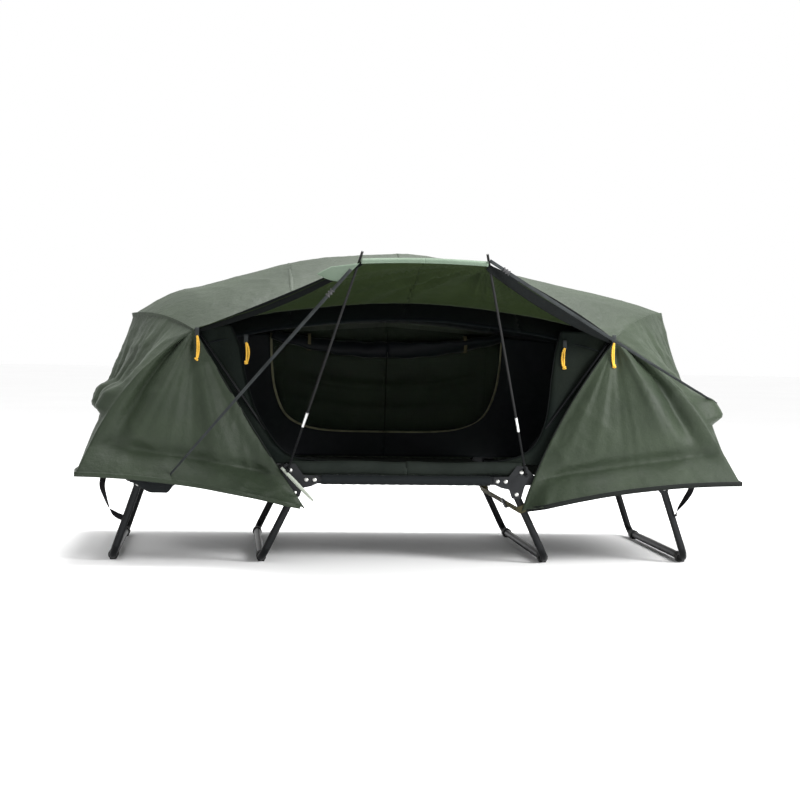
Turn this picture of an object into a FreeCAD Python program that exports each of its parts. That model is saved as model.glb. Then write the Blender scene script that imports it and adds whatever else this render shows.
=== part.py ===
import FreeCAD, Part
import math
import os

# A tri-fold camp cot with a tent on it, in millimetres.
# +X runs along the bed, +Y to the rear, +Z up. The origin is on the ground under the middle of
# the whole object, awning included. The pieces are drawn about the middle of the bed, most of
# them on the right (+X) and mirrored to the left, and save() moves them BED_Y to the rear.

V = FreeCAD.Vector
X, Y, Z = V(1, 0, 0), V(0, 1, 0), V(0, 0, 1)

BED_Y = 189.6

# bed frame
RAIL_Z = 284.0
RAIL_Y = 430.0
RAIL_R = 14.0
TUBE_WALL = 1.5
CENTER_HALF = 386.0
END_START = 398.0
END_BAR_X = 933.0
END_BEND = 30.0

# fold hinges
FOLD_X = 394.0
FOLD_Z = 316.0
PLATE_IN, PLATE_OUT = 447.4, 450.4
EAR_IN, EAR_OUT = 444.0, 447.0
BOLT_R = 4.0
BOLT_HOLE_R = 4.06
BOLT_HEAD_R, BOLT_HEAD_H = 7.0, 5.0

# legs: pivot and foot places in the XZ plane
LEG_R = 12.7
LEG_BEND = 38.0
FOOT_R = 17.0
SOLE_HALF = 11.0
INNER_PIVOT, INNER_FOOT, INNER_Y = (378.0, 240.0), (486.0, 17.0), 430.0
OUTER_PIVOT, OUTER_FOOT, OUTER_Y = (902.0, 262.0), (985.0, 17.0), 398.0

# tent hoops, one lower than the other so that they lie flat past each other
HOOP_R = 5.0
HOOP_X = 380.0
HOOP_Z = {"left": 306.5, "right": 324.0}
HOOP_Y = 406.75
HOOP_TOP_X, HOOP_TOP_Z = 785.0, 884.0
HOOP_UNDER_ROOF = 24.0
KNUCKLE_R = 8.0
HOOP_PIN_R = 3.0

# bed fabric
BED_LOW, BED_HIGH = 298.2, 300.8
SLEEVE_IN, SLEEVE_OUT = 14.3, 16.8

# tent fly: corner over the hoop, hem corner, ridge and hem
RIDGE_TOP_Z = 1072.0
RIDGE_TIP_X, RIDGE_TIP_Z = 957.0, 862.0
EAVE_MID = V(0, -365, 884)
CORNER = V(718, -405, 790)
HEM_CORNER = V(1095, -488, 300)
HEM_MID_X = 1100.0
DOOR_FOOT = V(395, -470, 190)
DOOR_BOW = 26.0
CLOTH = 3.0
SEAM = 7.0
INNER_GAP = 32.0
INNER_ROOF_GAP = 70.0
INNER_HEM_Y = -440.0
REAR_HEM_Y, REAR_HEM_Z = -492.0, 210.0
ROOF_CROWN = 80.0
RIDGE_POLE_R = 4.5
RIDGE_POLE_DROP = 13.0

# awning
AWNING_TIP = V(200, -860, 1020)
AWNING_MID_Z = 1030.0
POLE_R = 4.0
POLE_SPLIT, POLE_FERRULE = 205.0, 55.0
POLE_BASE = {"left": V(-403, -470, 318), "right": V(403, -484, 310)}
POLE_LAID_Y = {"left": -0.10, "right": -0.12}
POLE_LUG_R = 3.0

os.makedirs("parts", exist_ok=True)


def save(node, *shapes):
    """Writes one sub-part, as one solid or a group of them, moved to the object's own origin."""
    shape = shapes[0] if len(shapes) == 1 else Part.makeCompound(list(shapes))
    shape = shape.translated(V(0, BED_Y, 0))
    shape.exportStep("parts/" + node + ".step")


def mirrored(shape, normal=X):
    return shape.mirror(V(0, 0, 0), normal)


def on_both_ends(node, *shapes):
    """Writes a right-hand sub-part and its mirror image on the left."""
    save("right_" + node, *shapes)
    save("left_" + node, *[mirrored(s) for s in shapes])


def rod(start, end, radius):
    run = end - start
    return Part.makeCylinder(radius, run.Length, start, run)


def rounded_path(points, bends):
    """Straight runs joined by tangent arcs; bends gives the radius at each inner point."""
    edges, here = [], points[0]
    for before, point, after, bend in zip(points, points[1:], points[2:], bends):
        back, on = (before - point).normalize(), (after - point).normalize()
        half_turn = (math.pi - back.getAngle(on)) / 2
        reach = bend * math.tan(half_turn)
        start, end = point + back * reach, point + on * reach
        middle = (back + on).normalize()
        centre = point + middle * (bend / math.cos(half_turn))
        edges.append(Part.LineSegment(here, start).toShape())
        edges.append(Part.Arc(start, centre - middle * bend, end).toShape())
        here = end
    edges.append(Part.LineSegment(here, points[-1]).toShape())
    return edges


def pipe(points, bends, radius, wall=0.0):
    """A round bar, or a tube with that wall, along a rounded path."""
    path = Part.Wire(rounded_path(points, bends))
    along = points[1] - points[0]

    def swept(r):
        ring = Part.Wire(Part.makeCircle(r, points[0], along))
        return path.makePipeShell([ring], True, False)

    return swept(radius).cut(swept(radius - wall)) if wall else swept(radius)


def plate(outline, low_y, high_y, corner=5.0):
    """A flat plate with rounded corners. The outline is in X and Z."""
    points = [V(x, low_y, z) for x, z in outline]
    first = (points[0] + points[-1]) * 0.5
    loop = [first] + points + [first]
    edges = rounded_path(loop, [corner] * len(points))
    face = Part.Face(Part.Wire(edges))
    return face.extrude(V(0, high_y - low_y, 0))


def bolt(x, z, head_y, tip_y, shoulder=None):
    """A bolt along Y, with its head outside, its nut inside and a shoulder between if it has one."""
    head = Part.makeCylinder(BOLT_HEAD_R, BOLT_HEAD_H, V(x, head_y, z), Y)
    dome = Part.makeSphere(BOLT_HEAD_R * 1.25, V(x, head_y + BOLT_HEAD_H - BOLT_HEAD_R * 1.25, z))
    shank = Part.makeCylinder(BOLT_R, head_y - tip_y, V(x, tip_y, z), Y)
    nut = Part.makeCylinder(BOLT_HEAD_R, BOLT_HEAD_H + 1, V(x, tip_y, z), Y)
    body = head.common(dome).fuse([shank, nut])
    if shoulder:
        low, high = shoulder
        body = body.fuse(Part.makeCylinder(BOLT_HEAD_R + 0.5, high - low, V(x, low, z), Y))
    return body.removeSplitter()


def hole(x, z, radius, low_y, high_y):
    return Part.makeCylinder(radius, high_y - low_y, V(x, low_y, z), Y)


# ---- centre section -------------------------------------------------------------------------

RAIL_BOLTS = [(312.0, RAIL_Z), (340.0, RAIL_Z)]


def center_rail(side):
    """A straight tube with the bolt holes of its two hinge plates."""
    y = side * RAIL_Y
    ends = [V(-CENTER_HALF, y, RAIL_Z), V(CENTER_HALF, y, RAIL_Z)]
    tube = rod(*ends, RAIL_R).cut(rod(*ends, RAIL_R - TUBE_WALL))
    low, high = sorted([side * 400, side * 460])
    for x, z in RAIL_BOLTS:
        for sign in (-1, 1):
            tube = tube.cut(hole(sign * x, z, BOLT_HOLE_R, low, high))
    return tube


save("center_rail_front", center_rail(-1))
save("center_rail_back", center_rail(1))


def hinge_plate():
    """The plate that joins centre rail, end section and inner leg, with a pad that stands on the rail."""
    outline = [(298, 298), (298, 274), (324, 262), (352, 256), (362, 226), (394, 224), (404, 262)]
    outline += [(420, 300), (414, 336), (378, 338), (350, 300)]
    body = plate(outline, PLATE_IN, PLATE_OUT, 6)
    pad = Part.makeBox(68, PLATE_IN - EAR_IN, 16, V(304, EAR_IN, RAIL_Z - 8))
    body = body.fuse(pad).removeSplitter()
    for x, z in RAIL_BOLTS + [(FOLD_X, FOLD_Z), INNER_PIVOT]:
        body = body.cut(hole(x, z, BOLT_HOLE_R, EAR_IN - 1, PLATE_OUT + 1))
    return body


right_back = hinge_plate()
save("hinge_plate_back_right", right_back)
save("hinge_plate_back_left", mirrored(right_back))
save("hinge_plate_front_right", mirrored(right_back, Y))
save("hinge_plate_front_left", mirrored(mirrored(right_back), Y))


def four_corners(shapes):
    """The same pieces at all four corners of the centre section."""
    right = shapes + [mirrored(s, Y) for s in shapes]
    return right + [mirrored(s) for s in right]


corner_bolts = [bolt(x, z, PLATE_OUT, 409.5) for x, z in RAIL_BOLTS]
corner_bolts.append(bolt(FOLD_X, FOLD_Z, PLATE_OUT, 437.6))
corner_bolts.append(bolt(*INNER_PIVOT, PLATE_OUT, 405.0, (443.1, PLATE_IN)))
save("frame_bolts", *four_corners(corner_bolts))


def hoop_bracket(z):
    """A tab inside the rail end that carries a tent hoop."""
    outline = [(350, RAIL_Z - 7), (350, RAIL_Z + 7), (369, z + 8), (391, z + 8), (391, 290), (384, RAIL_Z - 7)]
    return plate(outline, 413.0, 416.0, 3).cut(hole(HOOP_X, z, HOOP_PIN_R, 410, 420))


def hoop_pin(z):
    shank = Part.makeCylinder(HOOP_PIN_R, 20, V(HOOP_X, 398.4, z), Y)
    heads = [Part.makeCylinder(5.0, 2.4, V(HOOP_X, y, z), Y) for y in (398.4, 416.2)]
    return shank.fuse(heads).removeSplitter()


brackets, pins = [], []
for side, z in HOOP_Z.items():
    for group, shape in ((brackets, hoop_bracket(z)), (pins, hoop_pin(z))):
        pair = [shape, mirrored(shape, Y)]
        group += pair if side == "right" else [mirrored(s) for s in pair]
save("hoop_brackets", *brackets)
save("hoop_pins", *pins)


def bed_panel(sleeve_from, sleeve_to, sheet_from, sheet_to):
    """Bed fabric: a taut sheet with a sleeve around each rail."""
    sheet = Part.makeBox(sheet_to - sheet_from, 2 * RAIL_Y, BED_HIGH - BED_LOW, V(sheet_from, -RAIL_Y, BED_LOW))
    for y in (-RAIL_Y, RAIL_Y):
        ends = [V(sleeve_from, y, RAIL_Z), V(sleeve_to, y, RAIL_Z)]
        sheet = sheet.fuse(rod(*ends, SLEEVE_OUT))
    for y in (-RAIL_Y, RAIL_Y):
        ends = [V(sheet_from - 1, y, RAIL_Z), V(sheet_to + 1, y, RAIL_Z)]
        sheet = sheet.cut(rod(*ends, SLEEVE_IN - 0.15))
    return sheet.removeSplitter()


save("center_bed_panel", bed_panel(-288, 288, -342, 342))

# ---- end sections ---------------------------------------------------------------------------

OUTER_BOLT_Y = (418.4, 378.0)


def end_frame():
    """The U-shaped tube of an end section, with the bolt holes of its leg brackets."""
    points = [V(END_START, -RAIL_Y, RAIL_Z), V(END_BAR_X, -RAIL_Y, RAIL_Z)]
    points += [V(END_BAR_X, RAIL_Y, RAIL_Z), V(END_START, RAIL_Y, RAIL_Z)]
    return pipe(points, [END_BEND] * 2, RAIL_R, TUBE_WALL)


def hinge_ear():
    """The plate on an end rail that turns on the fold bolt."""
    outline = [(402, 272), (446, 272), (446, 296), (412, 331), (386, 331), (380, 312), (396, 300)]
    return plate(outline, EAR_IN, EAR_OUT, 4).cut(hole(FOLD_X, FOLD_Z, BOLT_HOLE_R, 440, 450))


def leg_bracket():
    """The tab inside an end rail that carries the outer leg."""
    outline = [(872, 294), (872, 268), (888, 246), (914, 246), (918, 263), (912, 269), (890, 269), (886, 294)]
    return plate(outline, 412.4, 415.4, 4).cut(hole(*OUTER_PIVOT, BOLT_HOLE_R, 400, 430))


def both_sides(shape):
    return [shape, mirrored(shape, Y)]


on_both_ends("end_frame", end_frame())
on_both_ends("hinge_ears", *both_sides(hinge_ear()))
on_both_ends("leg_brackets", *both_sides(leg_bracket()))
leg_bolt = bolt(*OUTER_PIVOT, 415.4, OUTER_BOLT_Y[1], (411.2, 412.4))
on_both_ends("leg_bolts", *both_sides(leg_bolt))
on_both_ends("bed_panel", bed_panel(452, 872, 432, 912))

# ---- legs -----------------------------------------------------------------------------------


def leg(pivot, foot, half_y):
    """A U-shaped leg that leans out, from just past its pivot down to its ground bar."""
    top, bottom = V(pivot[0], 0, pivot[1]), V(foot[0], 0, foot[1])
    top += (top - bottom).normalize() * 14
    across = V(0, half_y, 0)
    points = [top - across, bottom - across, bottom + across, top + across]
    tube = pipe(points, [LEG_BEND] * 2, LEG_R, TUBE_WALL)
    return tube.cut(hole(*pivot, BOLT_HOLE_R, -half_y - 30, half_y + 30))


def feet(foot, half_y):
    """Rubber sleeves on the ground bar, with a flat sole."""
    sleeves = []
    for y in (-half_y + 42, half_y - 82):
        ends = [V(foot[0], y, foot[1]), V(foot[0], y + 40, foot[1])]
        sole = Part.makeBox(2 * SOLE_HALF, 40, foot[1], V(foot[0] - SOLE_HALF, y, 0))
        sleeves.append(rod(*ends, FOOT_R).fuse(sole).cut(rod(*ends, LEG_R)))
    return sleeves


on_both_ends("inner_leg", leg(INNER_PIVOT, INNER_FOOT, INNER_Y))
on_both_ends("outer_leg", leg(OUTER_PIVOT, OUTER_FOOT, OUTER_Y))
on_both_ends("inner_feet", *feet(INNER_FOOT, INNER_Y))
on_both_ends("outer_feet", *feet(OUTER_FOOT, OUTER_Y))

# closure strap across the right inner leg, with its buckle
STRAP_DOWN = 0.22
STRAP_W, STRAP_T = 25.0, 2.0


def closure_strap():
    """Webbing between the two tubes of the leg, looped round each."""
    x = INNER_PIVOT[0] + STRAP_DOWN * (INNER_FOOT[0] - INNER_PIVOT[0])
    z = INNER_PIVOT[1] + STRAP_DOWN * (INNER_FOOT[1] - INNER_PIVOT[1])
    down = (V(INNER_FOOT[0], 0, INNER_FOOT[1]) - V(INNER_PIVOT[0], 0, INNER_PIVOT[1])).normalize()
    reach = INNER_Y
    band = Part.makeBox(STRAP_T, 2 * reach, STRAP_W, V(-LEG_R - STRAP_T - 0.5, -reach, -STRAP_W / 2))
    loop = Part.makeCylinder(LEG_R + 0.5 + STRAP_T, STRAP_W, V(0, 0, -STRAP_W / 2))
    loop = loop.cut(Part.makeCylinder(LEG_R + 0.5, STRAP_W, V(0, 0, -STRAP_W / 2)))
    loops = [loop.translated(V(0, y, 0)) for y in (-INNER_Y, INNER_Y)]
    strap = band.fuse(loops).removeSplitter()
    buckle = Part.makeBox(9, 42, STRAP_W + 8, V(-LEG_R - 10, -181, -STRAP_W / 2 - 4))
    buckle = buckle.cut(Part.makeBox(STRAP_T + 1, 60, STRAP_W + 2, V(-LEG_R - STRAP_T - 1, -190, -STRAP_W / 2 - 1)))
    place = FreeCAD.Placement(V(x, 0, z), FreeCAD.Rotation(Z, -down))
    return [s.transformGeometry(place.toMatrix()) for s in (strap, buckle)]


strap, buckle = closure_strap()
save("closure_strap", strap)
save("closure_buckle", buckle)

# ---- ridge pole --------------- --------------------------------------------------------------


def ridge_z(x):
    """Height of the roof's ridge: an arc from tip to tip."""
    rise = RIDGE_TOP_Z - RIDGE_TIP_Z
    radius = (RIDGE_TIP_X**2 + rise**2) / (2 * rise)
    return RIDGE_TOP_Z - radius + math.sqrt(radius**2 - x**2)


def ridge_pole(start_x, end_x):
    points = [V(x, 0, ridge_z(x) - RIDGE_POLE_DROP) for x in (start_x, (start_x + end_x) / 2, end_x)]
    path = Part.Wire(Part.Arc(*points).toShape())
    tangent = path.Edges[0].tangentAt(path.Edges[0].FirstParameter)
    ring = Part.Wire(Part.makeCircle(RIDGE_POLE_R, path.Edges[0].valueAt(path.Edges[0].FirstParameter), tangent))
    return path.makePipeShell([ring], True, False)


FERRULE_HALF = 38.0
on_both_ends("ridge_pole", ridge_pole(1.0, RIDGE_TIP_X - 8))
ferrule_z = RIDGE_TOP_Z - RIDGE_POLE_DROP
ferrule_ends = [V(-FERRULE_HALF, 0, ferrule_z), V(FERRULE_HALF, 0, ferrule_z)]
save("ridge_ferrule", rod(*ferrule_ends, RIDGE_POLE_R + 1.9).cut(rod(*ferrule_ends, RIDGE_POLE_R + 0.9)))

# ---- awning poles ---------------------------------------------------------------------------


def awning_pole(side):
    """The two sections of a pole, the ferrule between them, and the lug on the hinge plate."""
    sign = 1 if side == "right" else -1
    base = POLE_BASE[side]
    tip = V(sign * AWNING_TIP.x, AWNING_TIP.y, AWNING_TIP.z)
    up = (tip - base).normalize()
    laid = V(-sign, POLE_LAID_Y[side], 0).normalize()
    pin = up.cross(laid).normalize()
    eye = Part.makeCylinder(7.0, 10, base - pin * 5, pin)
    lower = rod(base, base + up * POLE_SPLIT, POLE_R).fuse(eye)
    lower = lower.cut(Part.makeCylinder(POLE_LUG_R + 0.06, 14, base - pin * 7, pin))
    ferrule_from, ferrule_to = POLE_SPLIT - POLE_FERRULE / 2, POLE_SPLIT + POLE_FERRULE / 2
    ferrule = rod(base + up * ferrule_from, base + up * ferrule_to, POLE_R + 1.0)
    ferrule = ferrule.cut(rod(base + up * ferrule_from, base + up * ferrule_to, POLE_R))
    upper = rod(base + up * POLE_SPLIT, tip + up * 14, POLE_R)
    inward = pin if pin.y > 0 else -pin
    root = base + inward * ((-PLATE_OUT - base.y) / inward.y)
    lug = rod(root, base - inward * 9, POLE_LUG_R)
    lug = lug.fuse(rod(base - inward * 9, base - inward * 6, POLE_LUG_R + 2))
    lug = lug.cut(Part.makeBox(60, 40, 60, V(base.x - 30, -PLATE_OUT, base.z - 30)))
    return lower.removeSplitter(), upper, ferrule, lug


lugs = []
for side in ("left", "right"):
    lower, upper, ferrule, lug = awning_pole(side)
    save(side + "_awning_pole_lower", lower)
    save(side + "_awning_pole_upper", upper)
    save(side + "_awning_pole_ferrule", ferrule)
    lugs.append(lug)
save("awning_pole_lugs", *lugs)

# ---- tent cloth -----------------------------------------------------------------------------
# Each cloth part is a group of its sewn panels, and each panel a thin closed solid.


def cloth(surface, rows, columns, depth=0.0, hole_cells=()):
    """A panel of cloth: surface(u, v) for u and v from 0 to 1, set in by depth, with holes in a grid."""
    grid = [[surface(i / rows, j / columns) for j in range(columns + 1)] for i in range(rows + 1)]

    def normal(i, j):
        down = grid[min(i + 1, rows)][j] - grid[max(i - 1, 0)][j]
        across = grid[i][min(j + 1, columns)] - grid[i][max(j - 1, 0)]
        return down.cross(across).normalize()

    def toward_inside(i, j):
        n = normal(i, j)
        return n if n.dot(V(0, 0, 480) - grid[i][j]) > 0 else -n

    outer = [[grid[i][j] + toward_inside(i, j) * depth for j in range(columns + 1)] for i in range(rows + 1)]
    inner = [[outer[i][j] + toward_inside(i, j) * CLOTH for j in range(columns + 1)] for i in range(rows + 1)]
    kept = {(i, j) for i in range(rows) for j in range(columns)} - set(hole_cells)
    faces = []

    def quad(a, b, c, d):
        for three in ((a, b, c), (a, c, d)):
            faces.append(Part.Face(Part.makePolygon(list(three) + [three[0]])))

    for i, j in sorted(kept):
        near = [(i, j), (i, j + 1), (i + 1, j + 1), (i + 1, j)]
        quad(*[outer[a][b] for a, b in near])
        quad(*[inner[a][b] for a, b in near])
        neighbours = [(i - 1, j), (i, j + 1), (i + 1, j), (i, j - 1)]
        for k, beside in enumerate(neighbours):
            if beside not in kept:
                (a, b), (c, d) = near[k], near[(k + 1) % 4]
                quad(outer[a][b], outer[c][d], inner[c][d], inner[a][b])
    shell = Part.Shell(faces)
    solid = Part.Solid(shell)
    if solid.Volume < 0:
        solid.reverse()
    return solid


def eave(x):
    """The seam over the door, from the middle to the corner."""
    share = (x / CORNER.x) ** 2
    middle, corner = EAVE_MID, CORNER
    return V(x, middle.y + (corner.y - middle.y) * share, middle.z + (corner.z - middle.z) * share)


def ridge(x):
    return V(x, 0, ridge_z(x))


def between(a, b, share):
    return a + (b - a) * share


def side_of(point, rear):
    return V(point.x, abs(point.y) if rear else point.y, point.z)


def roof(start_x, end_ridge_x, end_eave_x):
    """From the front eave over the ridge to the rear eave; u runs outward and v from front to rear."""

    def surface(u, v):
        lean = abs(2 * v - 1) * 0.985
        top = ridge(start_x + SEAM + (end_ridge_x - start_x - 2 * SEAM) * u)
        low = eave(start_x + SEAM + (end_eave_x - start_x - 2 * SEAM) * u)
        point = between(top, side_of(low, v > 0.5), lean)
        return point + V(0, 0, ROOF_CROWN * lean * (1 - lean))

    return surface


def corner_line(share):
    """The tension fold from the hoop corner down to the hem corner."""
    return between(CORNER, HEM_CORNER, share)


def door_edge(share):
    bow = DOOR_BOW * 4 * share * (1 - share)
    return between(CORNER, DOOR_FOOT, share) - V(bow, 0, 0)


def front_panel(u, v):
    """From the door edge out to the corner line; v runs down."""
    down = 0.07 + 0.925 * v
    return between(door_edge(down), corner_line(down), 0.01 + 0.97 * u)


def rear_panel(inner_x, outer_top, outer_line, hem_y):
    """A wall at the rear; u runs outward from inner_x and v down."""

    def surface(u, v):
        top = eave(inner_x + SEAM + (outer_top - inner_x - SEAM) * u)
        hem_in = V(inner_x + SEAM, hem_y, REAR_HEM_Z)
        hem = between(hem_in, outer_line(1.0), u)
        point = between(top, hem, 0.02 + 0.97 * v)
        return side_of(point, True)

    return surface


def end_wall(u, v):
    """From the front corner line round to the rear one; v runs down from the visor edge."""
    across = abs(2 * u - 1) * 0.975
    rear = u > 0.5
    tip = V(RIDGE_TIP_X, 0, RIDGE_TIP_Z)
    top = between(tip, side_of(CORNER, rear), across)
    low = between(V(HEM_MID_X, 0, 300), side_of(HEM_CORNER, rear), across)
    point = between(top, low, 0.02 + 0.97 * v)
    hood = max(0.0, 1 - abs(v - 0.62) / 0.2) * max(0.0, 1 - (across / 0.9) ** 6)
    return point + V(4 + 55 * hood, 0, 0)


def mid_hem(share):
    return V(FOLD_X - SEAM, REAR_HEM_Y, REAR_HEM_Z)


def end_hem(share):
    return HEM_CORNER - V(14, 0, 0)


def awning(u, v):
    """From the eave out to the lifted edge; v runs from the middle to the side."""
    base = eave(SEAM + (CORNER.x - 4 * SEAM) * v) + V(0, -9, 2)
    lip_z = AWNING_MID_Z + (AWNING_TIP.z - AWNING_MID_Z) * v * v - 6
    lip = V(SEAM + (AWNING_TIP.x - 10 - SEAM) * v, AWNING_TIP.y + 8, lip_z)
    return between(base, lip, u) + V(0, 0, 30 * math.sin(math.pi * u) * (1 - v))


mid_roof = roof(0, FOLD_X, FOLD_X)
end_roof = roof(FOLD_X, RIDGE_TIP_X, CORNER.x - 4)
mid_rear = rear_panel(0, FOLD_X - SEAM, mid_hem, REAR_HEM_Y)
end_rear = rear_panel(FOLD_X, CORNER.x - 10, end_hem, REAR_HEM_Y)

on_both_ends("fly_middle", cloth(mid_roof, 4, 8), cloth(mid_rear, 3, 6))
fly_end = [cloth(end_roof, 5, 8), cloth(front_panel, 4, 6), cloth(end_wall, 10, 9), cloth(end_rear, 4, 6)]
on_both_ends("fly_end", *fly_end)
on_both_ends("awning", cloth(awning, 5, 5))

# ---- tent hoops under the roof cloth ---------------------------------------------------------


def hoop_points(side):
    """Centre points of the front half of a hoop, from its straight leg up to the ridge."""
    foot = V(HOOP_X, 0, HOOP_Z[side])
    up = V(HOOP_TOP_X, 0, HOOP_TOP_Z) - foot
    across = V(-up.z, 0, up.x)
    shoulder = ((0.40, 0), (0.50, 0), (0.62, 2.5), (0.72, 9))
    points = [foot + up * share - V(0, HOOP_Y - inward, 0) for share, inward in shoulder]
    for lean in (0.94, 0.85, 0.72, 0.55, 0.36, 0.18, 0.0):
        near, far = 0.0, 1.0
        for _ in range(40):
            middle = (near + far) / 2
            point = end_roof(middle, 0.5 - lean / 2) - V(0, 0, HOOP_UNDER_ROOF)
            near, far = (middle, far) if (point - foot).dot(across) > 0 else (near, middle)
        points.append(point)
    return points


def hoop(side):
    """A hoop of bent rod that leans out over the end section, with an eye at each foot."""
    front = hoop_points(side)
    back = [V(p.x, -p.y, p.z) for p in reversed(front[:-1])]
    foot = V(HOOP_X, -HOOP_Y, HOOP_Z[side])
    far_foot = V(HOOP_X, HOOP_Y, HOOP_Z[side])
    up = (front[0] - foot).normalize()
    arch = Part.BSplineCurve()
    arch.interpolate(Points=front + back, InitialTangent=up, FinalTangent=-up)
    legs = [Part.LineSegment(foot, front[0]), Part.LineSegment(back[-1], far_foot)]
    path = Part.Wire([legs[0].toShape(), arch.toShape(), legs[1].toShape()])
    ring = Part.Wire(Part.makeCircle(HOOP_R, foot, up))
    rod_shape = path.makePipeShell([ring], True, False)
    eyes = [Part.makeCylinder(KNUCKLE_R, 9.5, V(HOOP_X, y, HOOP_Z[side]), Y) for y in (-411.5, 402.0)]
    body = rod_shape.fuse(eyes)
    for y in (-413.0, 400.0):
        body = body.cut(Part.makeCylinder(HOOP_PIN_R + 0.06, 13, V(HOOP_X, y, HOOP_Z[side]), Y))
    return body if side == "right" else mirrored(body)


for side in ("left", "right"):
    save(f"{side}_hoop", hoop(side))

# ---- inner tent: the same shape set in, with a door in front and a window behind -------------

WINDOW = [(i, j) for i in range(0, 4) for j in range(2, 4)]


def inner_front(u, v):
    """The front wall from the door's edge out to the corner line."""
    down = 0.19 + 0.63 * v
    edge = between(V(560, -404, 742), V(424, -424, 372), v) - V(22 * math.sin(math.pi * v), 0, 0)
    return between(edge, corner_line(down) - V(30, 0, 0), 0.98 * u)


def sill(u, v):
    """The low wall under the door."""
    return V(SEAM + (FOLD_X - 2 * SEAM) * u, -424, 344 - 36 * v)


inner_mid_rear = rear_panel(0, FOLD_X - SEAM, mid_hem, INNER_HEM_Y)
inner_end_rear = rear_panel(FOLD_X, CORNER.x - 10, end_hem, INNER_HEM_Y)


def trimmed(surface, top, low, inset=0.03):
    """The same panel from top to low, stopped above the bed."""
    return lambda u, v: surface(inset + (1 - 2 * inset) * u, top + (low - top) * v)


inner_mid = [cloth(mid_roof, 4, 8, INNER_GAP), cloth(trimmed(inner_mid_rear, 0.07, 0.75), 6, 6, INNER_GAP, WINDOW)]
inner_mid.append(cloth(sill, 3, 1))
on_both_ends("inner_tent_middle", *inner_mid)
inner_end = [cloth(trimmed(end_roof, 0.03, 0.97), 5, 8, INNER_ROOF_GAP), cloth(inner_front, 4, 5, INNER_GAP)]
inner_end.append(cloth(trimmed(end_wall, 0.17, 0.91, 0.05), 8, 7, INNER_GAP + 50))
inner_end.append(cloth(trimmed(inner_end_rear, 0.15, 0.79), 4, 5, INNER_GAP))
on_both_ends("inner_tent_end", *inner_end)

# ---- cords and straps -----------------------------------------------------------------------


def cord(node, points, radius):
    """A cord's tube: straight runs joined by arcs as large as the runs allow."""
    bends = []
    for before, point, after in zip(points, points[1:], points[2:]):
        runs = [(point - before).Length, (after - point).Length]
        half_turn = (before - point).getAngle(after - point)
        bends.append(0.45 * min(runs) / math.tan((math.pi - half_turn) / 2))
    save(node, pipe(points, bends, radius))


PULL_R = 3.0
GUY_R = 5.5
for side, sign in (("left", -1), ("right", 1)):
    fly_pull = [V(sign * 712, -424, 762), V(sign * 709, -427, 722), V(sign * 713, -426, 680)]
    cord(side + "_fly_pull", fly_pull, PULL_R)
    door_pull = [V(sign * 548, -386, 742), V(sign * 543, -389, 708), V(sign * 547, -387, 672)]
    cord(side + "_door_pull", door_pull, PULL_R)
cord("left_guy_strap", [V(-232, -872, 975), V(-520, -694, 634), V(-806, -506, 286)], GUY_R)
cord("right_guy_strap", [V(204, -872, 1012), V(655, -622, 772), V(1086, -392, 560)], GUY_R)


def tie_strap(points, width):
    """A flat strap that runs straight between points and is wide along X."""
    pieces = []
    for start, end in zip(points, points[1:]):
        run = end - start
        side = X.cross(run).normalize() * 0.9
        wide = V(width / 2, 0, 0)
        ring = [start - wide - side, start + wide - side, start + wide + side, start - wide + side]
        pieces.append(Part.Face(Part.makePolygon(ring + [ring[0]])).extrude(run))
    return pieces


on_both_ends("hem_tie", *tie_strap([V(1010, -478, 286), V(966, -440, 120)], 20))
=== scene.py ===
import math

import bmesh
import bpy
from mathutils import Matrix, Vector, noise


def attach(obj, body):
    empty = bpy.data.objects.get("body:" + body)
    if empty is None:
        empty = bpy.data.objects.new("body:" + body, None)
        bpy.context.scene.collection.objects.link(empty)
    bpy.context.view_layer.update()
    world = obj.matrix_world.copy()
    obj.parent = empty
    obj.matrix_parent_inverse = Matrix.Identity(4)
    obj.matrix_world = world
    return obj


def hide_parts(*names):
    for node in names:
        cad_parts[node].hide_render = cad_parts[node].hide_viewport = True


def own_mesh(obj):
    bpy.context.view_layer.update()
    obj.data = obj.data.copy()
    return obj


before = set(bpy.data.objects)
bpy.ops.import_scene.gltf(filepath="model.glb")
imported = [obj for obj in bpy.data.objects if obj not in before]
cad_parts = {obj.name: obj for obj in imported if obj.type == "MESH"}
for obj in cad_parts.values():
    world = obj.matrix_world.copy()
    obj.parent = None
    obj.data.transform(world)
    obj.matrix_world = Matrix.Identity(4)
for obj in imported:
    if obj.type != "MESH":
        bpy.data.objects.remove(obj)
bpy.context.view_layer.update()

BED_Y = 0.1896
FOLD_X = 0.394
V = Vector


def put(p):
    """A point measured from the middle of the bed, in the object's frame."""
    return V((p[0], p[1] + BED_Y, p[2]))


# ---- camera and cords -----------------------------------------------------------------------

camera = bpy.data.objects.new("camera", bpy.data.cameras.new("camera"))
bpy.context.collection.objects.link(camera)
camera.data.sensor_width = 36.0
camera.data.lens = 1661 / 800 * 36
camera.data.clip_end = 100
turn = Matrix.Rotation(-0.104, 4, "Z") @ Matrix.Rotation(math.pi / 2 - 0.034, 4, "X")
camera.matrix_world = Matrix.Translation(put((-0.610, -6.030, 0.748))) @ turn @ Matrix.Rotation(0.018, 4, "Z")
bpy.context.scene.camera = camera


def nurbs(name, points):
    """A curve object with one smooth open spline through the given control points."""
    curve = bpy.data.curves.new(name, "CURVE")
    curve.dimensions = "3D"
    curve.resolution_u = 24
    spline = curve.splines.new("NURBS")
    spline.points.add(len(points) - 1)
    for target, p in zip(spline.points, points):
        target.co = (*put(p), 1.0)
    spline.order_u = 3
    spline.use_endpoint_u = True
    ob = bpy.data.objects.new(name, curve)
    bpy.context.collection.objects.link(ob)
    return ob


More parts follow.
